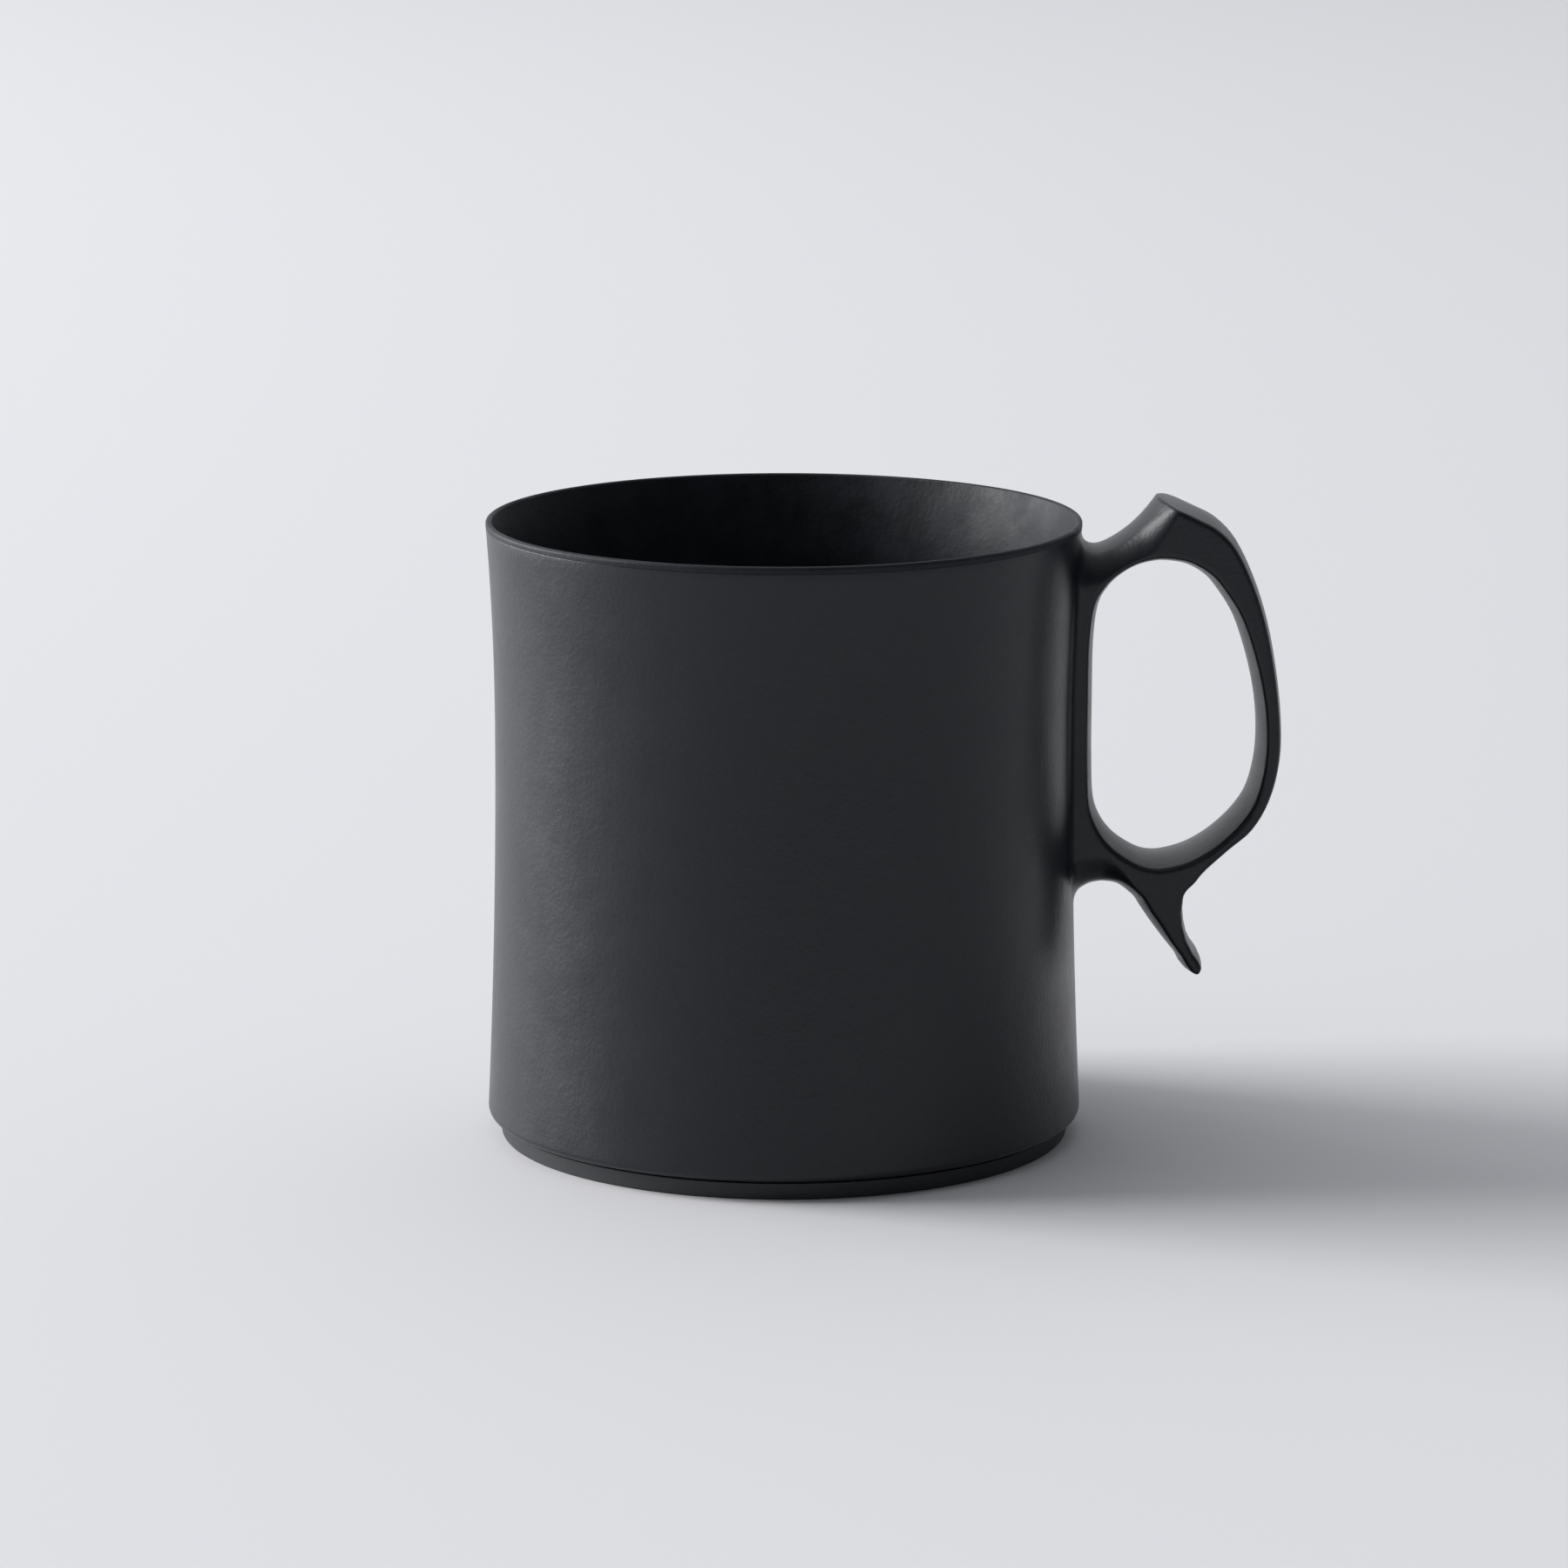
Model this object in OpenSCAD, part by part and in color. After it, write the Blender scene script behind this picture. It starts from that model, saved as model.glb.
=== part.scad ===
// Thin-walled ceramic mug with a waisted cup, a set-in foot ring and a looped handle
// that has a thumb rest above and a hooked spur below.
// Frame: the mug's axis is Z, its foot stands on Z = 0, and the handle points along +X.

/* [Cup] */
// Height from the table to the lip
mug_h = 89.6; // [88:0.2:94]
// Outer radius at the waist, the narrowest place
waist_r = 41.5; // [40:0.1:43]
// Height of the waist
waist_z = 60; // [55:1:65]
// How far the wall spreads from the waist up to the lip
lip_flare = 1.1; // [0.4:0.1:2]
// How far the wall spreads from the waist down to the foot
base_flare = 1.45; // [0.6:0.05:2]
// Wall thickness below the lip
wall_t = 2.7; // [2.2:0.1:3.5]
// Thickness of the rounded lip, with its glaze
lip_t = 0.95; // [0.8:0.05:1.4]
// Height over which the lip grows to the full wall
lip_taper_h = 14; // [8:1:20]
// Thickness of the floor
floor_t = 4; // [3:0.5:6]
// Radius inside, where the wall meets the floor
inner_corner_r = 9; // [5:1:14]
// Radius outside, where the wall turns in to the foot
outer_corner_r = 1.2; // [0.8:0.2:2]

/* [Foot] */
// Height of the foot ring with its slip bed
foot_h = 2.8; // [2.4:0.2:5]
// Outer radius of the foot ring, at the table
foot_r = 41; // [39.5:0.1:41.2]
// How far the foot ring spreads from the table up to the cup
foot_flare = 0.5; // [0:0.1:0.6]
// Width of the face that rests on the table
foot_w = 4.6; // [3:0.2:6]
// Radius on the foot ring's lower edges
foot_edge_r = 0.4; // [0.3:0.1:0.8]

/* [Handle] */
// Width of the handle, across the mug
handle_w = 14.8; // [12:0.2:17]
// How far the loop's inner surface swells between the handle's two flat faces
crown = 1.1; // [0.4:0.05:1.4]
// Radius between the flat faces and the edge surfaces
handle_edge_r = 0.5; // [0.3:0.1:0.6]

/* [Coatings and joints] */
// Thickness of the lining glaze
glaze_t = 0.2; // [0.1:0.05:0.25]
// How far the glaze runs down outside the lip
glaze_drop = 0.8; // [0.7:0.1:2]
// Thickness of the slip that joins the handle and the foot to the cup
slip_t = 0.3; // [0.2:0.05:0.5]
// How far the slip is squeezed out around the handle's spine
slip_rim = 1.2; // [0.5:0.1:2]

/* [Hidden] */
charcoal = "#2b2e33";
bare_clay = "#3a3b3d";
dried_slip = "#303338";
liner = "#1c1f23";
$fn = 96;

lip_r = lip_t / 2;
lip_z = mug_h - lip_r;
lip_axis_r = waist_r + lip_flare - lip_r;
floor_z = foot_h + floor_t;
wall_steps = 16;
arc_steps = 6;
curve_steps = 3;
level_steps = 3;
slice_t = 0.02;
hair = 0.01;
far = 40;
spine_top = 85;
spine_bottom = 36;

// The handle as ribs that run across its flat face, clockwise from the thumb rest's corner:
// [loop edge's distance out from the waist, its height, the same for the outer edge, and how
// far the outer surface swells there].
thumb_rib = [12.8, 84.8, 14.2, 91.7, 0.4];
ribs = [
    thumb_rib,
    [16.2, 84.2, 17.3, 90.2, 0.6],
    [19.4, 82.3, 20, 88.7, 0.7],
    [21.7, 79.5, 22.6, 85.9, 0.7],
    [23.8, 76, 25.1, 80.7, 0.7],
    [25.5, 71.2, 27, 74.8, 0.7],
    [26.8, 66, 28.3, 68.2, 0.7],
    [27.5, 60.6, 29.1, 61.4, 0.7],
    [27.4, 55, 29.1, 55.2, 0.7],
    [26.2, 49.7, 27.8, 49.6, 0.7],
    [24, 46.1, 25.4, 45.3, 0.7],
    [20.8, 43, 22.1, 42.4, 0.7],
    [17.7, 41, 18.9, 39.5, 0.7],
    [15.1, 40, 16.3, 36.8, 0.7],
    [12.4, 39.5, 12.9, 35.5, 0.7],
    [9.9, 39.8, 9.8, 36, 1.4],
    [7.3, 41.1, 7.2, 38.1, 1.9],
    [5, 42.9, 4.1, 39.1, 2.4],
    [3.1, 45.5, -1.5, 39, 2.4],
    [1.9, 49, -4.5, 45.5, 1],
    [1.6, 55, -4.5, 55, 1],
    [1.6, 64, -4.5, 65, 1],
    [1.7, 72.2, -4.5, 74, 1],
    [2.4, 77.7, -3.5, 81.5, 1.8],
    [3.9, 80.6, 0.8, 83.5, 1.7],
    [5.8, 82.5, 4.4, 84.4, 1.5],
    [8.1, 83.9, 7.8, 86.2, 1.6],
    [10.4, 84.6, 11, 88.6, 2]
];
// The corner again, as the end of the saddle, and where the outer edge would come from and go
// to there if it ran straight on.
saddle_corner = [12.8, 84.8, 14.2, 91.7, 2.7];
before_corner = [10.4, 84.6, 11.2, 92.8, 0.3];
after_corner = [16.2, 84.2, 16.3, 94.9, 3];
// How far the thumb rest's edge reaches past its corners, halfway between them.
thumb_reach = [-2.4, 1.1];

// The spur's ribs, from its root to its tip: left edge, then right edge, as above.
spur_ribs = [
    [8.4, 37.9, 17.2, 38],
    [9.4, 36.7, 16.1, 36.7],
    [10.2, 35.3, 15.6, 35.3],
    [11.4, 33.2, 15.4, 33.2],
    [13, 30.9, 15.6, 31],
    [14.4, 28.6, 16.2, 28.9],
    [15.8, 26.6, 17.2, 27],
    [16.5, 25.4, 18, 25.9],
    [17.05, 24.55, 18.45, 24.95],
    [17.4, 24.2, 18.3, 24.4]
];
spur_left_swell = 1.7;
spur_right_swell = 0.6;
// The swell fades where the spur is narrower than this.
spur_fade = 2.4;
// The spur is a hair narrower than the loop that it grows from.
spur_share = 0.994;

// A smooth curve through the knots, from the second to the last but one.
function blend(a, b, c, d, t) =
    b + t * (c - a) / 2
      + t * t * (2 * a - 5 * b + 4 * c - d) / 2
      + t * t * t * (3 * b - a - 3 * c + d) / 2;
function curve(k) = [
    for (i = [1 : len(k) - 3], s = [0 : curve_steps - 1])
        blend(k[i - 1], k[i], k[i + 1], k[i + 2], s / curve_steps)
];

// Points on an arc in the half-plane of a turned profile.
function arc(r, z, radius, from, to) = [
    for (i = [0 : arc_steps])
        let (a = from + (to - from) * i / arc_steps)
        [r + radius * cos(a), z + radius * sin(a)]
];

// The wall as a turned profile. Each surface is a parabola about the waist.
function square_of(x) = x * x;
function wall_r(z) =
    waist_r + (z > waist_z
        ? lip_flare * square_of((z - waist_z) / (lip_z - waist_z))
        : base_flare * square_of((waist_z - z) / (waist_z - foot_h)));
function ease(x) = let (c = min(max(x, 0), 1)) c * (2 - c);
function inner_r(z) =
    wall_r(z) - lip_t - (wall_t - lip_t) * ease((lip_z - z) / lip_taper_h);

corner_z = foot_h + outer_corner_r;
inner_corner_z = floor_z + inner_corner_r;
inner_corner_axis = inner_r(inner_corner_z) - inner_corner_r;
glaze_end_z = mug_h - glaze_drop;
inset_z = glaze_end_z - glaze_t;

function step_z(from, to, i) = from + (to - from) * i / wall_steps;

// Outside of the cup from its underside up to a height, and the same wall swollen by grow.
function outside(top) = [
    each arc(wall_r(corner_z) - outer_corner_r, corner_z, outer_corner_r, -90, 0),
    for (i = [1 : wall_steps]) let (z = step_z(corner_z, top, i)) [wall_r(z), z]
];
function wall_line(from, to, grow) = [
    for (i = [0 : wall_steps]) let (z = step_z(from, to, i)) [wall_r(z) + grow, z]
];

// Lip and inside, down to the middle of the floor. depth is how far it lies under the
// glaze's surface.
function inside(depth) = [
    each arc(lip_axis_r, lip_z, lip_r - depth, 0, 180),
    for (i = [1 : wall_steps - 1])
        let (z = step_z(lip_z, inner_corner_z, i))
        [inner_r(z) + depth, z],
    each arc(inner_corner_axis, inner_corner_z, inner_corner_r + depth, 0, -90),
    [0, floor_z - depth]
];

module cup_body() {
    color(charcoal)
    rotate_extrude()
    polygon([
        [0, foot_h],
        each outside(inset_z),
        each inside(glaze_t)
    ]);
}

module lining_glaze() {
    clay = inside(glaze_t);
    color(liner)
    rotate_extrude()
    polygon([
        [wall_r(inset_z), inset_z],
        [wall_r(glaze_end_z), glaze_end_z],
        each inside(0),
        for (i = [len(clay) - 1 : -1 : 0]) clay[i]
    ]);
}

module foot_ring() {
    inner = foot_r - foot_w - foot_edge_r;
    color(bare_clay)
    rotate_extrude()
    polygon([
        each arc(inner + foot_edge_r, foot_edge_r, foot_edge_r, 180, 270),
        each arc(foot_r - foot_edge_r, foot_edge_r, foot_edge_r, -90, 0),
        [foot_r + foot_flare, foot_h - slip_t],
        [inner - foot_edge_r, foot_h - slip_t]
    ]);
}

module foot_slip() {
    inset = 0.4;
    color(dried_slip)
    translate([0, 0, foot_h - slip_t])
    difference() {
        cylinder(h = slip_t, r = foot_r + foot_flare - inset);
        translate([0, 0, -slip_t])
            cylinder(h = 3 * slip_t, r = foot_r - foot_w - foot_edge_r);
    }
}

// Levels across the handle's width, as [distance from its middle plane, inset of the edge].
half_w = handle_w / 2;
straight_w = half_w - handle_edge_r;
levels = [
    for (a = [-90, -45]) [handle_edge_r * sin(a) - straight_w, handle_edge_r * (1 - cos(a))],
    for (i = [-level_steps : level_steps]) [straight_w * i / level_steps, 0],
    for (a = [45, 90]) [straight_w + handle_edge_r * sin(a), handle_edge_r * (1 - cos(a))]
];

function xy(v, from) = [v[from], v[from + 1]];
function left_of(v) = [-v[1], v[0]] / norm(v);
function reversed(v) = [for (i = [len(v) - 1 : -1 : 0]) v[i]];

// One edge of a section, across the width: out is its outward direction, and reach is how far
// it swells in the middle.
function swelling(level) = 1 - square_of(level[0] / half_w);
function edge(p, out, reach) = [
    for (l = levels)
        let (q = p + reach * swelling(l) - out * l[1])
        [q[0], q[1], l[0]]
];

// A ring-shaped solid through sections with equally many points.
module closed_loft(sections) {
    n = len(sections);
    m = len(sections[0]);
    polyhedron(
        points = [for (s = sections) each s],
        faces = [
            for (i = [0 : n - 1], j = [0 : m - 1])
                let (here = i * m, next = (i + 1) % n * m, k = (j + 1) % m)
                each [[here + j, next + j, next + k], [here + j, next + k, here + k]]
        ],
        convexity = 6
    );
}

module loop() {
    line = curve([before_corner, each ribs, saddle_corner, after_corner]);
    n = len(line);
    closed_loft([
        for (i = [0 : n - 1])
            let (along = line[(i + 1) % n] - line[(i + n - 1) % n],
                 out = left_of(xy(along, 2)),
                 into_loop = -left_of(xy(along, 0)),
                 reach = i == 0 ? thumb_reach : out * line[i][4])
            [
                each edge(xy(line[i], 2), out, reach),
                each reversed(edge(xy(line[i], 0), into_loop, into_loop * crown))
            ]
    ]);
}

// A thin slice across the spur, with barrel-shaped ends on its left and right. Its edges' inset
// takes at most a third of a narrow slice.
module spur_slice(rib) {
    across = xy(rib, 2) - xy(rib, 0);
    length = norm(across);
    fade = min(1, length / spur_fade);
    slices = [for (l = levels) [swelling(l), min(l[1], length / 3), spur_share * l[0]]];
    translate(xy(rib, 0))
    rotate([90, 0, atan2(across[1], across[0])])
    linear_extrude(slice_t, center = true)
    polygon([
        for (s = slices) [length + fade * spur_right_swell * s[0] - s[1], s[2]],
        each reversed([for (s = slices) [s[1] - fade * spur_left_swell * s[0], s[2]]])
    ]);
}

module spur() {
    for (i = [0 : len(spur_ribs) - 2])
        hull() {
            spur_slice(spur_ribs[i]);
            spur_slice(spur_ribs[i + 1]);
        }
}

// Everything inside the cup's outer surface and the slip on it, and a hair more.
module cup_and_slip() {
    line = wall_line(corner_z, lip_z, slip_t + hair);
    rotate_extrude($fn = 180)
    polygon([[0, corner_z], each line, [0, lip_z]]);
}

module handle() {
    color(charcoal)
    difference() {
        translate([waist_r, 0, 0])
        rotate([90, 0, 0])
        union() {
            loop();
            spur();
        }
        cup_and_slip();
    }
}

// Rounded rectangle about the handle's plane, between two heights.
module slip_outline() {
    corner = 3;
    half = handle_w / 2 + slip_rim;
    low = spine_bottom - slip_rim;
    high = spine_top + slip_rim;
    translate([-half, low + corner])
        square([2 * half, high - low - 2 * corner]);
    translate([-half + corner, low])
        square([2 * half - 2 * corner, high - low]);
    for (x = [-1, 1], z = [low + corner, high - corner])
        translate([x * (half - corner), z])
        circle(corner);
}

module handle_slip() {
    skin = wall_line(corner_z, lip_z, slip_t);
    wall = wall_line(corner_z, lip_z, 0);
    color(dried_slip)
    intersection() {
        rotate_extrude()
        polygon([
            each skin,
            for (i = [wall_steps : -1 : 0]) wall[i]
        ]);
        rotate([90, 0, 90])
            linear_extrude(2 * far)
            slip_outline();
    }
}

cup_body();
foot_ring();
foot_slip();
handle();
handle_slip();
lining_glaze();
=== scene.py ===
"""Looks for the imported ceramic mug: a turned cup, lining, foot and foot joint, and a handle
grown from a distance field, so that its edges are rounded and its roots run into the wall.
Lengths are in millimetres until a mesh is made."""

import math

import bmesh
import bpy
import numpy as np
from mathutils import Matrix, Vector


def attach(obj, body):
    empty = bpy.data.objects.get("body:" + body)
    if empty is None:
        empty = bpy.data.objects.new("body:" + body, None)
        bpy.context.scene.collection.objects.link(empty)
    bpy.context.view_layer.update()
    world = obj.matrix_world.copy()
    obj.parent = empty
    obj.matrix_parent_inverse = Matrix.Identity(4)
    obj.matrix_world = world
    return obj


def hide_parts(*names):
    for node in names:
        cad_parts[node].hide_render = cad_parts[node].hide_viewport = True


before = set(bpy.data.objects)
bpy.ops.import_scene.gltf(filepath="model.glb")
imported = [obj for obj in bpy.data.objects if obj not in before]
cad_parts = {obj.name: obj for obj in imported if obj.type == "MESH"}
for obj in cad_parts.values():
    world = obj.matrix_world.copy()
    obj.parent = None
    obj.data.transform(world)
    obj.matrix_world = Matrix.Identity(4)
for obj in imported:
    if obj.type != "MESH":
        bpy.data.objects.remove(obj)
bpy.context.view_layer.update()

MM = 0.001

# The cup, as in the CAD model.
MUG_H = 89.6
WAIST_R = 41.5
WAIST_Z = 60
LIP_FLARE = 1.1
BASE_FLARE = 1.45
WALL_T = 2.7
LIP_T = 0.95
LIP_TAPER_H = 14
FLOOR_T = 4
INNER_CORNER_R = 9
OUTER_CORNER_R = 1.2
GLAZE_T = 0.2
GLAZE_DROP = 0.8

# The foot and the slip that it is set in.
FOOT_H = 2.8
FOOT_R = 41
FOOT_FLARE = 0.5
FOOT_W = 4.6
FOOT_EDGE_R = 0.4
SLIP_T = 0.3
SLIP_INSET = 0.4

LIP_R = LIP_T / 2
LIP_Z = MUG_H - LIP_R
FLOOR_Z = FOOT_H + FLOOR_T
CORNER_Z = FOOT_H + OUTER_CORNER_R
GLAZE_END_Z = MUG_H - GLAZE_DROP
# Bevel on the edges that the glaze and the foot show at their creases.
BEVEL = 0.12
TURNS = 256
WALL_STEPS = 60
ARC_STEPS = 14

# Half the handle's width, and how far the loop's inner surface swells.
HALF_W = 7.4
CROWN = 1.1
# The handle's ribs, clockwise from the thumb rest's corner: loop edge's distance out from the
# waist and its height, the same for the outer edge, and how far the outer surface swells.
THUMB_RIB = (12.8, 84.8, 14.2, 91.7, 0.4)
RIBS = (
    THUMB_RIB,
    (16.2, 84.2, 17.3, 90.2, 0.6),
    (19.4, 82.3, 20, 88.7, 0.7),
    (21.7, 79.5, 22.6, 85.9, 0.7),
    (23.8, 76, 25.1, 80.7, 0.7),
    (25.5, 71.2, 27, 74.8, 0.7),
    (26.8, 66, 28.3, 68.2, 0.7),
    (27.5, 60.6, 29.1, 61.4, 0.7),
    (27.4, 55, 29.1, 55.2, 0.7),
    (26.2, 49.7, 27.8, 49.6, 0.7),
    (24, 46.1, 25.4, 45.3, 0.7),
    (20.8, 43, 22.1, 42.4, 0.7),
    (17.7, 41, 18.9, 39.5, 0.7),
    (15.1, 40, 16.3, 36.8, 0.7),
    (12.4, 39.5, 12.9, 35.5, 0.7),
    (9.9, 39.8, 9.8, 36, 1.4),
    (7.3, 41.1, 7.2, 38.1, 1.9),
    (5, 42.9, 4.1, 39.1, 2.4),
    (3.1, 45.5, -1.5, 39, 2.4),
    (1.9, 49, -4.5, 45.5, 1),
    (1.6, 55, -4.5, 55, 1),
    (1.6, 64, -4.5, 65, 1),
    (1.7, 72.2, -4.5, 74, 1),
    (2.4, 77.7, -3.5, 81.5, 1.8),
    (3.9, 80.6, 0.8, 83.5, 1.7),
    (5.8, 82.5, 4.4, 84.4, 1.5),
    (8.1, 83.9, 7.8, 86.2, 1.6),
    (10.4, 84.6, 11, 88.6, 2),
)
# The corner again, as the end of the saddle, and where the outer edge would come from and go
# to there if it ran straight on.
BEFORE_CORNER = (10.4, 84.6, 11.2, 92.8, 0.3)
SADDLE_CORNER = (12.8, 84.8, 14.2, 91.7, 2.7)
AFTER_CORNER = (16.2, 84.2, 16.3, 94.9, 3)
# How far the thumb rest's edge reaches past its corners, halfway between them.
THUMB_REACH = (-2.4, 1.1)

# The spur's ribs, from its root to its tip: left edge, then right edge.
SPUR_RIBS = (
    (8.4, 37.9, 17.2, 38),
    (9.4, 36.7, 16.1, 36.7),
    (10.2, 35.3, 15.6, 35.3),
    (11.4, 33.2, 15.4, 33.2),
    (13, 30.9, 15.6, 31),
    (14.4, 28.6, 16.2, 28.9),
    (15.8, 26.6, 17.2, 27),
    (16.5, 25.4, 18, 25.9),
    (17.05, 24.55, 18.45, 24.95),
    (17.4, 24.2, 18.3, 24.4),
)
SPUR_LEFT_SWELL = 1.7
SPUR_RIGHT_SWELL = 0.6
# The swell fades where the spur is narrower than this.
SPUR_FADE = 2.4
# How far the tip stands out, as a share of the last rib's length.
SPUR_TIP = 0.45

# Radius on the handle's edges, and on its outer edges where the arms reach the wall. Each arm
# has a fade: where it starts, out from the waist, and its length.
EDGE_R = 0.5
ARM_EDGE_R = 3.2
UPPER_FADE = (15, 6)
LOWER_FADE = (9, 5)
SPUR_FILLET = 0.8
# The fillet on the wall, and how far from the handle it may reach.
WALL_FILLET = 3
FILLET_REACH = 3.5
# How far the fillet's foot lies under the wall's surface, and how deep the joint goes.
SUNK = 0.01
EMBED = 0.8
# The plane that parts the handle from its joint.
JOINT_X = WAIST_R + 1.3

# The grid that the handle is grown on: its spacing, ranges, and reach on each side.
GRID = 0.29
FIELD_X = (39, 74)
FIELD_Z = (21, 96)
FIELD_REACH = 12.5
CURVE_STEPS = 4

# The camera and the room, in metres and degrees.
LENS = 147.4
CAMERA_AT = Vector((-0.0158, -0.9058, 0.2353))
CAMERA_PITCH = 11.51
CAMERA_YAW = -1.0
LIGHTS_AIM = Vector((0, 0, 0.045))
FLOOR_REACH = 8.0
# The room is brighter towards this direction, behind the mug and above it.
BRIGHT_SIDE = (-0.35, 0.6, 0.42)
ROOM_COLOUR = (0.93, 0.96, 1, 1)


def arc(r, z, radius, start, end, steps=ARC_STEPS):
    """Points on an arc in the half-plane of a turned profile."""
    angles = np.radians(np.linspace(start, end, steps + 1))
    return [(r + radius * math.cos(a), z + radius * math.sin(a)) for a in angles]


def wall_r(z):
    """Outer radius of the cup's wall: a parabola on each side of the waist."""
    above = LIP_FLARE * ((z - WAIST_Z) / (LIP_Z - WAIST_Z)) ** 2
    below = BASE_FLARE * ((WAIST_Z - z) / (WAIST_Z - FOOT_H)) ** 2
    return WAIST_R + np.where(z > WAIST_Z, above, below)


def inner_r(z):
    """Inner radius of the wall, which thins to the lip."""
    depth = np.clip((LIP_Z - z) / LIP_TAPER_H, 0, 1)
    return wall_r(z) - LIP_T - (WALL_T - LIP_T) * depth * (2 - depth)


def wall(start, end, radius=wall_r, grow=0.0):
    """Points up or down one of the wall's surfaces."""
    heights = np.linspace(start, end, WALL_STEPS + 1)
    return [(float(radius(z)) + grow, float(z)) for z in heights]


def inside(depth):
    """Lip and inside down to the middle of the floor, at a depth under the glaze."""
    corner_top = FLOOR_Z + INNER_CORNER_R
    axis = float(inner_r(corner_top)) - INNER_CORNER_R
    return [
        *arc(WAIST_R + LIP_FLARE - LIP_R, LIP_Z, LIP_R - depth, 0, 180),
        *wall(LIP_Z, corner_top, inner_r, depth)[1:-1],
        *arc(axis, corner_top, INNER_CORNER_R + depth, 0, -90),
        (0.0, FLOOR_Z - depth),
    ]


def finish_piece(mesh, name, normals, material, slot, *replaced):
    """A smooth piece with its own normals that rides on the mug's one body."""
    mesh.materials.append(material)
    mesh.shade_smooth()
    mesh.normals_split_custom_set_from_vertices(normals)
    piece = bpy.data.objects.new(name, mesh)
    bpy.context.scene.collection.objects.link(piece)
    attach(piece, "root")
    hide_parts(*replaced)
    return piece


def turned(name, profile, material, slot, *replaced):
    """A profile turned about Z. It runs anticlockwise seen with the radius to the right."""
    line = np.array(profile)
    edges = np.roll(line, -1, 0) - line
    outward = np.stack([edges[:, 1], -edges[:, 0]], 1)
    normal = outward + np.roll(outward, 1, 0)
    normal /= np.maximum(np.linalg.norm(normal, axis=1), 1e-9)[:, None]

    verts, normals, rings = [], [], []
    angles = 2 * math.pi * np.arange(TURNS) / TURNS
    for (r, z), (nr, nz) in zip(line, normal):
        if r < 1e-6:
            rings.append([len(verts)] * TURNS)
            verts.append((0, 0, z * MM))
            normals.append((0, 0, math.copysign(1, nz)))
            continue
        rings.append(list(range(len(verts), len(verts) + TURNS)))
        verts += [(r * MM * math.cos(a), r * MM * math.sin(a), z * MM) for a in angles]
        normals += [(nr * math.cos(a), nr * math.sin(a), nz) for a in angles]

    faces = []
    for low, high in zip(rings, rings[1:] + rings[:1]):
        for i in range(TURNS):
            k = (i + 1) % TURNS
            corners = list(dict.fromkeys([low[i], low[k], high[k], high[i]]))
            if len(corners) > 2:
                faces.append(corners)
    mesh = bpy.data.meshes.new(name)
    mesh.from_pydata(verts, [], faces)
    return finish_piece(mesh, name, normals, material, slot, *replaced)


def smooth_line(knots):
    """A smooth curve through the knots, from the second to the last but one."""
    k = np.array(knots, float)
    a, b, c, d = (k[i : len(k) - 3 + i, None] for i in range(4))
    t = np.linspace(0, 1, CURVE_STEPS, endpoint=False)[None, :, None]
    points = (
        b
        + t * (c - a) / 2
        + t**2 * (2 * a - 5 * b + 4 * c - d) / 2
        + t**3 * (3 * b - a - 3 * c + d) / 2
    )
    return points.reshape(-1, k.shape[1])


def left_of(v):
    """Unit vectors a quarter turn to the left of each vector."""
    return np.stack([-v[:, 1], v[:, 0]], 1) / np.linalg.norm(v, axis=1)[:, None]


def loop_rings():
    """The loop's outer and inner edges on the flat face, and how far each point swells."""
    line = smooth_line([BEFORE_CORNER, *RIBS, SADDLE_CORNER, AFTER_CORNER])
    along = np.roll(line, -1, 0) - np.roll(line, 1, 0)
    reach = left_of(along[:, 2:4]) * line[:, 4:5]
    reach[0] = THUMB_REACH
    shift = (WAIST_R, 0)
    into_loop = -left_of(along[:, 0:2]) * CROWN
    return (line[:, 2:4] + shift, reach), (line[:, 0:2] + shift, into_loop)


def spur_ring():
    """The spur's edge on the flat face, with a rounded tip, and how far each point swells."""
    ribs = np.array(SPUR_RIBS)
    left, right = ribs[:, 0:2], ribs[:, 2:4]
    across = right - left
    length = np.linalg.norm(across, axis=1)[:, None]
    fade = np.minimum(1, length / SPUR_FADE)
    left_reach = -fade * SPUR_LEFT_SWELL * across / length
    right_reach = fade * SPUR_RIGHT_SWELL * across / length
    tip = (left[-1] + right[-1]) / 2 - left_of(across[-1:])[0] * length[-1] * SPUR_TIP
    points = np.vstack([left, tip, right[::-1]])
    reach = np.vstack([left_reach, (0, 0), right_reach[::-1]])
    return points + (WAIST_R, 0), reach


def signed_distance(points, ring):
    """Distance from each point to a closed ring, negative inside it."""
    nearest = np.full(len(points), np.inf)
    within = np.zeros(len(points), bool)
    for a, b in zip(ring, np.roll(ring, -1, 0)):
        edge = b - a
        offset = points - a
        along = np.clip(offset @ edge / max(edge @ edge, 1e-12), 0, 1)
        gap = offset - along[:, None] * edge
        nearest = np.minimum(nearest, (gap**2).sum(1))
        if a[1] != b[1]:
            beside = (points[:, 1] < a[1]) != (points[:, 1] < b[1])
            within ^= beside & (offset[:, 0] < offset[:, 1] * edge[0] / edge[1])
    return np.where(within, -1, 1) * np.sqrt(nearest)


def joined(a, b, fillet):
    """Union of two fields, with a fillet where they meet."""
    share = np.maximum(fillet - np.abs(a - b), 0) / fillet
    return np.minimum(a, b) - share**2 * fillet / 4


def rounded(a, b, radius):
    """Intersection of two fields, with a rounded edge where they meet."""
    corner = np.hypot(np.maximum(a + radius, 0), np.maximum(b + radius, 0))
    return np.minimum(np.maximum(a, b), -radius) + corner


def ease(x):
    """From 0 to 1, level at both ends."""
    c = np.clip(x, 0, 1)
    return c * c * (3 - 2 * c)


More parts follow.
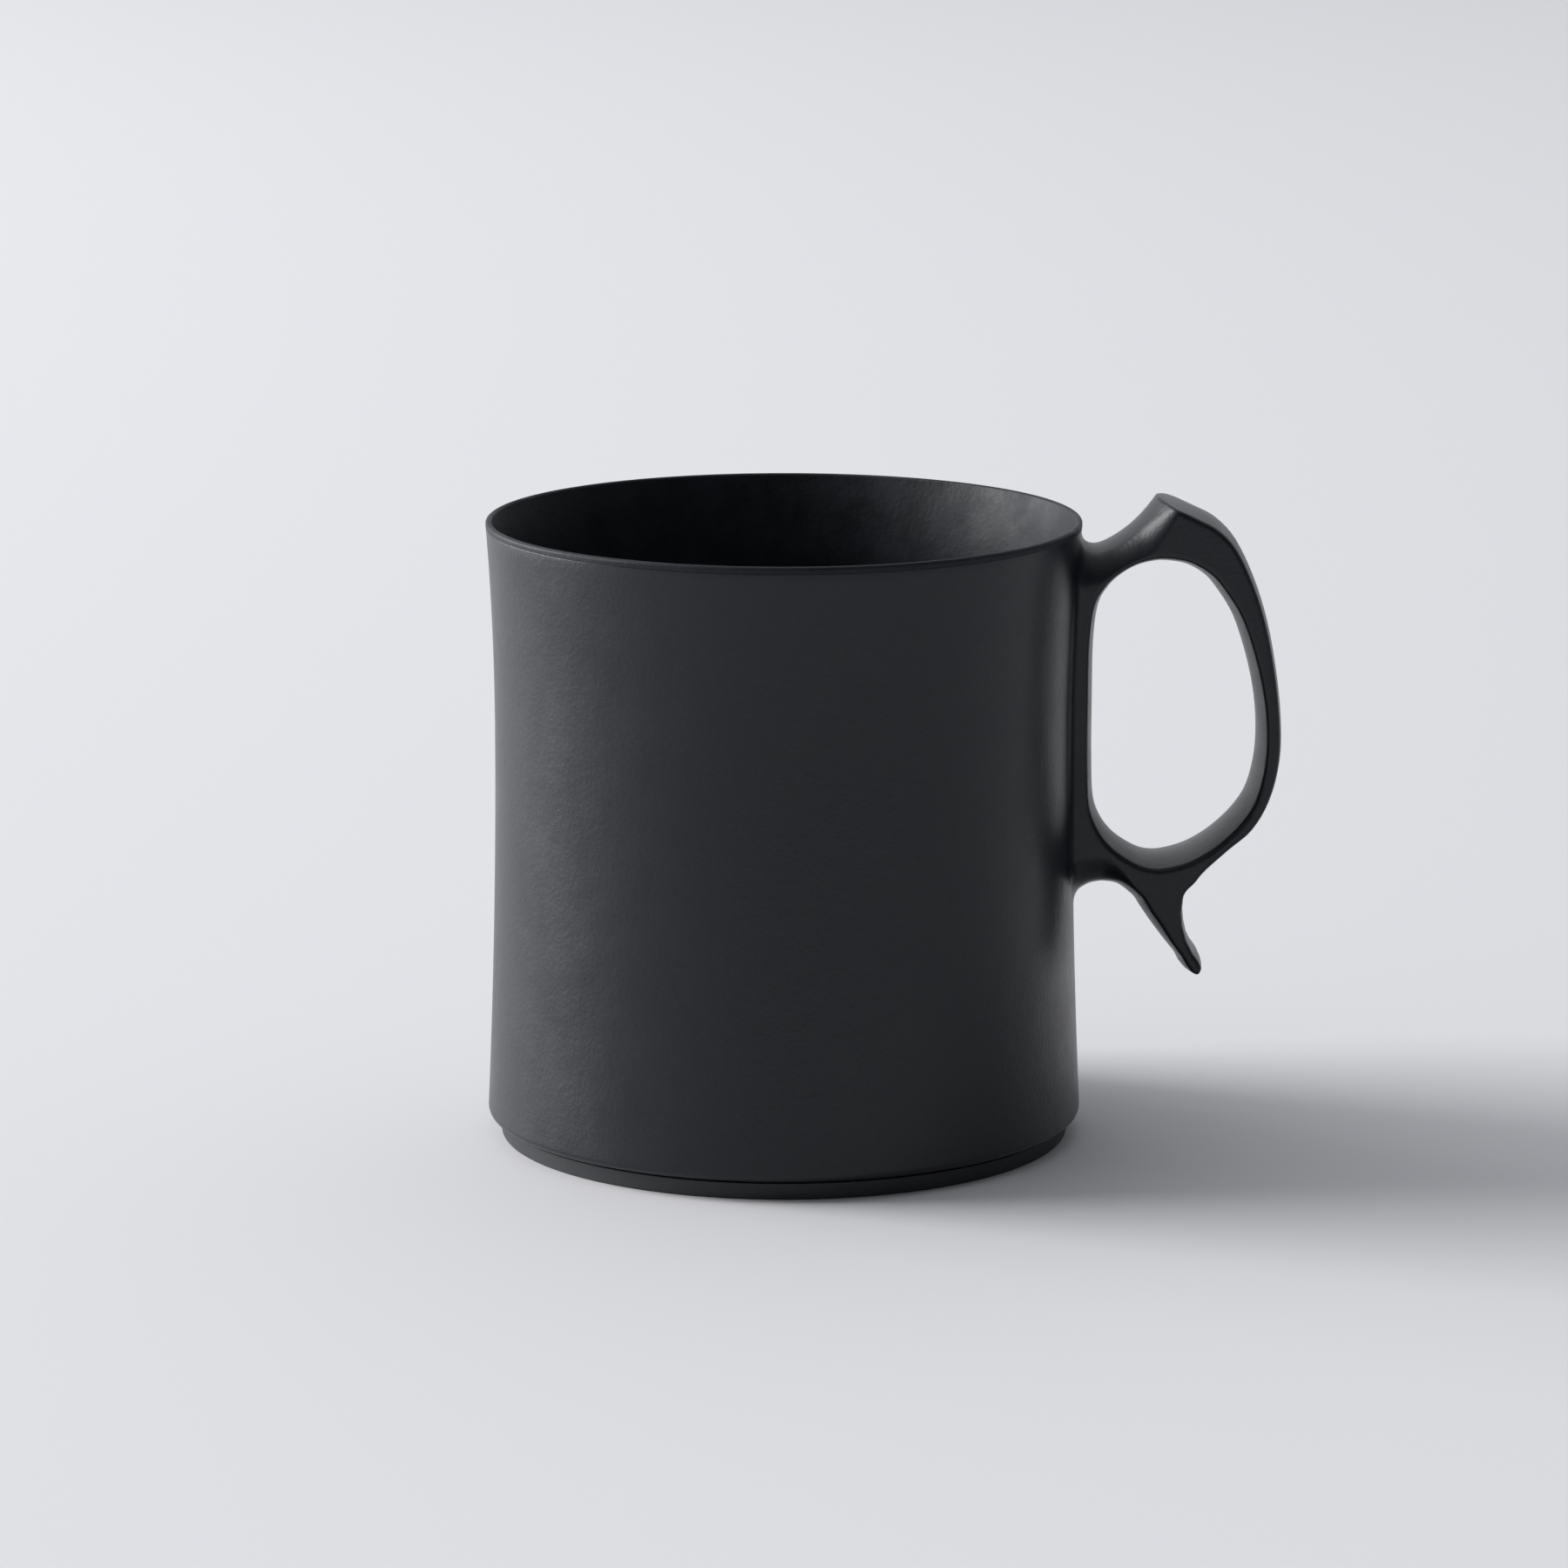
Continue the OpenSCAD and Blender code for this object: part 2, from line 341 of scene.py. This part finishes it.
def handle_field():
    """The handle and its fillet on the wall as a grid of distances, and the grid's axes."""
    xs = np.arange(*FIELD_X, GRID)
    zs = np.arange(*FIELD_Z, GRID)
    half = np.arange(0, FIELD_REACH, GRID)
    x, z = (g.ravel() for g in np.meshgrid(xs, zs, indexing="ij"))
    points = np.stack([x, z], 1)
    (outer, outer_reach), (hole, hole_reach) = loop_rings()
    spur, spur_reach = spur_ring()
    upper, lower = (
        ease((WAIST_R + start - x) / length) for start, length in (UPPER_FADE, LOWER_FADE)
    )
    edge_r = EDGE_R + (ARM_EDGE_R - EDGE_R) * np.where(z > WAIST_Z, upper, lower)
    layers = []
    for y in half:
        swell = max(0.0, 1 - (y / HALF_W) ** 2)
        rim = signed_distance(points, outer + swell * outer_reach)
        spike = signed_distance(points, spur + swell * spur_reach)
        gap = -signed_distance(points, hole + swell * hole_reach)
        side = y - HALF_W
        body = rounded(joined(rim, spike, SPUR_FILLET), side, edge_r)
        body = rounded(body, gap, EDGE_R)
        off_wall = np.hypot(x, y) - wall_r(z)
        fused = joined(body, off_wall + SUNK, WALL_FILLET)
        layer = np.maximum(fused, -off_wall - EMBED)
        layer = np.maximum(layer, body - FILLET_REACH)
        layers.append(layer.reshape(len(xs), len(zs)))
    right = np.stack(layers, 1)
    field = np.concatenate([right[:, :0:-1], right], 1)
    ys = np.concatenate([-half[:0:-1], half])
    return field, (xs, ys, zs)


def sample(grid, at):
    """Values of a grid at points given in steps along its axes."""
    low = np.clip(np.floor(at).astype(int), 0, np.array(grid.shape[:3]) - 2)
    t = at - low
    total = 0
    for corner in np.ndindex(2, 2, 2):
        share = np.prod(np.where(corner, t, 1 - t), 1)
        i, j, k = (low + corner).T
        value = grid[i, j, k]
        total = total + (share * value.T).T
    return total


def surface(field):
    """Quads on the zero level of a grid, with one vertex in each cell that it crosses, in
    steps along the grid's axes."""
    cells = tuple(n - 1 for n in field.shape)
    total = np.zeros((*cells, 3))
    count = np.zeros(cells)
    crossings = []
    for axis in range(3):
        near = np.take(field, range(cells[axis]), axis)
        beyond = np.take(field, range(1, cells[axis] + 1), axis)
        found = np.argwhere((near < 0) != (beyond < 0))
        a, b = near[tuple(found.T)], beyond[tuple(found.T)]
        spot = found.astype(float)
        spot[:, axis] += a / (a - b)
        crossings.append((found, a < 0))
        others = [n for n in range(3) if n != axis]
        for shift in np.ndindex(2, 2):
            cell = found.copy()
            cell[:, others] -= shift
            keep = ((cell >= 0) & (cell < cells)).all(1)
            np.add.at(total, tuple(cell[keep].T), spot[keep])
            np.add.at(count, tuple(cell[keep].T), 1)
    used = count > 0
    index = np.cumsum(used.ravel()).reshape(cells) - 1
    verts = total[used] / count[used][:, None]
    slopes = np.stack(np.gradient(field), -1)
    # Newton steps towards the zero level, none longer than half a cell each way.
    for _ in range(3):
        slope = sample(slopes, verts)
        steep = np.maximum((slope**2).sum(1), 1e-9)
        verts -= np.clip((sample(field, verts) / steep)[:, None] * slope, -0.5, 0.5)
    faces = []
    for axis, (found, outward) in enumerate(crossings):
        b, c = (axis + 1) % 3, (axis + 2) % 3
        around = []
        for db, dc in ((1, 1), (0, 1), (0, 0), (1, 0)):
            cell = found.copy()
            cell[:, b] -= db
            cell[:, c] -= dc
            around.append(index[tuple(cell.T)])
        quads = np.stack(around, 1)
        faces.append(np.where(outward[:, None], quads, quads[:, ::-1]))
    return verts, np.concatenate(faces)


def handle_pieces(material):
    """The handle, and the joint that fuses it to the wall, cut by a plane from one surface so
    that they meet without a step. Their normals come from the field that both grew from."""
    field, axes = handle_field()
    slopes = np.stack(np.gradient(field), -1)
    start = np.array([a[0] for a in axes])
    verts, faces = surface(field)
    whole = bpy.data.meshes.new("whole")
    whole.from_pydata(((start + verts * GRID) * MM).tolist(), [], faces.tolist())
    for name, out_of, slot, replaced in (
        ("handle_casting", -1, "charcoal_clay", "handle"),
        ("handle_joint", 1, "dried_slip", "handle_slip"),
    ):
        bm = bmesh.new()
        bm.from_mesh(whole)
        cut = bmesh.ops.bisect_plane(
            bm,
            geom=[*bm.verts, *bm.edges, *bm.faces],
            dist=1e-7,
            plane_co=(JOINT_X * MM, 0, 0),
            plane_no=(out_of, 0, 0),
            clear_outer=True,
        )
        rim = [e for e in cut["geom_cut"] if isinstance(e, bmesh.types.BMEdge)]
        bmesh.ops.triangle_fill(bm, use_beauty=True, edges=rim)
        mesh = bpy.data.meshes.new(name)
        bm.to_mesh(mesh)
        bm.free()
        places = np.array([v.co for v in mesh.vertices]) / MM
        slope = sample(slopes, (places - start) / GRID)
        normals = slope / np.linalg.norm(slope, axis=1)[:, None]
        finish_piece(mesh, name, normals.tolist(), material, slot, replaced)
    bpy.data.meshes.remove(whole)


def node(tree, kind, **values):
    """A shader node with some of its inputs or settings filled in."""
    made = tree.nodes.new(kind)
    for key, value in values.items():
        if key in made.inputs:
            made.inputs[key].default_value = value
        else:
            setattr(made, key, value)
    return made


def noise(tree, place, scale, detail=3.0, roughness=0.55):
    """Noise over the object's own coordinates, at a number of cells per metre."""
    made = node(tree, "ShaderNodeTexNoise", Scale=scale, Detail=detail, Roughness=roughness)
    tree.links.new(place, made.inputs["Vector"])
    return made.outputs["Fac"]


def spread(tree, value, low, high, start=0.3, end=0.7):
    """Maps a noise value to a range."""
    made = node(tree, "ShaderNodeMapRange")
    made.inputs["From Min"].default_value = start
    made.inputs["From Max"].default_value = end
    made.inputs["To Min"].default_value = low
    made.inputs["To Max"].default_value = high
    tree.links.new(value, made.inputs["Value"])
    return made.outputs["Result"]


def tint(tree, share, dark, light):
    """A colour between two, by a share from 0 to 1."""
    made = node(tree, "ShaderNodeMix", data_type="RGBA")
    made.inputs["A"].default_value = (*dark, 1)
    made.inputs["B"].default_value = (*light, 1)
    tree.links.new(share, made.inputs["Factor"])
    return made.outputs["Result"]


def bump(tree, layers):
    """Bumps on bumps: each layer is a height and the distance in metres that it stands up."""
    normal = None
    for height, distance in layers:
        made = node(tree, "ShaderNodeBump", Distance=distance, Strength=1.0)
        tree.links.new(height, made.inputs["Height"])
        if normal is not None:
            tree.links.new(normal, made.inputs["Normal"])
        normal = made.outputs["Normal"]
    return normal


def ceramic(name, dark, light, rough, grain, dimple, ior=1.5):
    """Fired clay or glaze: two close colours in soft clouds, a roughness that wanders between
    two values, and grain and dimples given as (cells per metre, height in metres)."""
    material = bpy.data.materials.new(name)
    material.use_nodes = True
    tree = material.node_tree
    shader = tree.nodes["Principled BSDF"]
    place = node(tree, "ShaderNodeTexCoord").outputs["Object"]
    clouds = noise(tree, place, scale=110, detail=6.0, roughness=0.68)
    specks = noise(tree, place, grain[0], detail=2.0)
    waves = noise(tree, place, dimple[0], detail=1.0)
    links = tree.links
    links.new(tint(tree, spread(tree, clouds, 0, 1), dark, light), shader.inputs["Base Color"])
    links.new(spread(tree, clouds, *rough), shader.inputs["Roughness"])
    links.new(
        bump(tree, [(specks, grain[1]), (waves, dimple[1])]), shader.inputs["Normal"]
    )
    shader.inputs["IOR"].default_value = ior
    return material


def floor():
    """A pale seamless floor, larger than the view."""
    material = bpy.data.materials.new("paper")
    material.use_nodes = True
    shader = material.node_tree.nodes["Principled BSDF"]
    shader.inputs["Base Color"].default_value = (0.715, 0.71, 0.73, 1)
    shader.inputs["Roughness"].default_value = 0.9
    corners = ((-1, -1), (1, -1), (1, 1), (-1, 1))
    mesh = bpy.data.meshes.new("floor")
    mesh.from_pydata([(x * FLOOR_REACH, y * FLOOR_REACH, 0) for x, y in corners], [], [range(4)])
    mesh.materials.append(material)
    made = bpy.data.objects.new("floor", mesh)
    bpy.context.scene.collection.objects.link(made)


def area_light(name, azimuth, elevation, distance, width, height, power):
    """A soft box that faces the mug. Azimuth is from +X towards +Y, in degrees."""
    data = bpy.data.lights.new(name, "AREA")
    data.shape = "RECTANGLE"
    data.size = width
    data.size_y = height
    data.energy = power
    lamp = bpy.data.objects.new(name, data)
    a, e = math.radians(azimuth), math.radians(elevation)
    away = Vector((math.cos(a) * math.cos(e), math.sin(a) * math.cos(e), math.sin(e)))
    lamp.location = LIGHTS_AIM + away * distance
    lamp.rotation_euler = away.to_track_quat("Z", "Y").to_euler()
    bpy.context.scene.collection.objects.link(lamp)


def room():
    """Light from all round, which fades from the bright side to the dark one."""
    world = bpy.data.worlds.new("room")
    world.use_nodes = True
    tree = world.node_tree
    sky = tree.nodes["Background"]
    sky.inputs["Color"].default_value = ROOM_COLOUR
    aim = node(tree, "ShaderNodeVectorMath", operation="DOT_PRODUCT")
    aim.inputs[1].default_value = BRIGHT_SIDE
    tree.links.new(node(tree, "ShaderNodeTexCoord").outputs["Generated"], aim.inputs[0])
    glow = spread(tree, aim.outputs["Value"], low=0.05, high=0.9, start=-0.35, end=0.85)
    tree.links.new(glow, sky.inputs["Strength"])
    bpy.context.scene.world = world
    bpy.context.scene.view_settings.view_transform = "Standard"


def camera():
    """A long lens that looks slightly down on the mug from the front."""
    lens = bpy.data.cameras.new("camera")
    lens.lens = LENS
    lens.sensor_width = 36
    lens.clip_start = 0.05
    lens.clip_end = 50
    made = bpy.data.objects.new("camera", lens)
    made.location = CAMERA_AT
    made.rotation_euler = (math.radians(90 - CAMERA_PITCH), 0, math.radians(CAMERA_YAW))
    bpy.context.scene.collection.objects.link(made)
    bpy.context.scene.camera = made


charcoal = ceramic(
    "charcoal_clay",
    dark=(0.0055, 0.0075, 0.0108),
    light=(0.0088, 0.0112, 0.0155),
    rough=(0.31, 0.4),
    grain=(1500, 0.00004),
    dimple=(260, 0.00004),
    ior=1.43,
)
bare_clay = ceramic(
    "bare_clay",
    dark=(0.022, 0.0242, 0.0275),
    light=(0.03, 0.0325, 0.0365),
    rough=(0.68, 0.8),
    grain=(3600, 0.00003),
    dimple=(300, 0.00003),
)
liner = ceramic(
    "lining_glaze",
    dark=(0.003, 0.004, 0.006),
    light=(0.0145, 0.019, 0.0265),
    rough=(0.44, 0.68),
    grain=(1300, 0.00005),
    dimple=(190, 0.00012),
    ior=1.33,
)
slip = ceramic(
    "dried_slip",
    dark=(0.018, 0.019, 0.022),
    light=(0.025, 0.0265, 0.03),
    rough=(0.6, 0.7),
    grain=(3800, 0.00002),
    dimple=(300, 0.00003),
)

inset_z = GLAZE_END_Z - GLAZE_T
turned(
    "cup",
    [
        (0.0, FOOT_H),
        *arc(float(wall_r(CORNER_Z)) - OUTER_CORNER_R, CORNER_Z, OUTER_CORNER_R, -90, 0),
        *wall(CORNER_Z, inset_z - BEVEL)[1:],
        (float(wall_r(inset_z)) - BEVEL, inset_z),
        *inside(GLAZE_T),
    ],
    charcoal,
    "charcoal_clay",
    "cup_body",
)
turned(
    "lining",
    [
        (float(wall_r(inset_z)) - 2 * BEVEL, inset_z),
        *arc(float(wall_r(GLAZE_END_Z)) - BEVEL, inset_z + BEVEL, BEVEL, -90, 0, 4),
        *inside(0.0),
        *inside(GLAZE_T)[::-1],
    ],
    liner,
    "lining_glaze",
    "lining_glaze",
)
foot_inner = FOOT_R - FOOT_W - FOOT_EDGE_R
foot_top_r = FOOT_R + FOOT_FLARE
foot_top_z = FOOT_H - SLIP_T
turned(
    "foot",
    [
        *arc(foot_inner + FOOT_EDGE_R, FOOT_EDGE_R, FOOT_EDGE_R, 180, 270),
        *arc(FOOT_R - FOOT_EDGE_R, FOOT_EDGE_R, FOOT_EDGE_R, -90, 0),
        *arc(foot_top_r - BEVEL, foot_top_z - BEVEL, BEVEL, 0, 90, 4),
        (foot_inner - FOOT_EDGE_R, foot_top_z),
    ],
    bare_clay,
    "bare_clay",
    "foot_ring",
)
slip_r = SLIP_T / 2
turned(
    "foot_joint",
    [
        (foot_inner, foot_top_z),
        *arc(foot_top_r - SLIP_INSET - slip_r, FOOT_H - slip_r, slip_r, -90, 90, 6),
        (foot_inner, FOOT_H),
    ],
    slip,
    "dried_slip",
    "foot_slip",
)
handle_pieces(charcoal)

floor()
area_light("window", azimuth=170, elevation=29, distance=5.0, width=2.4, height=3.2, power=235)
area_light("back wall", azimuth=160, elevation=8, distance=4.0, width=3.2, height=1.6, power=150)
room()
camera()
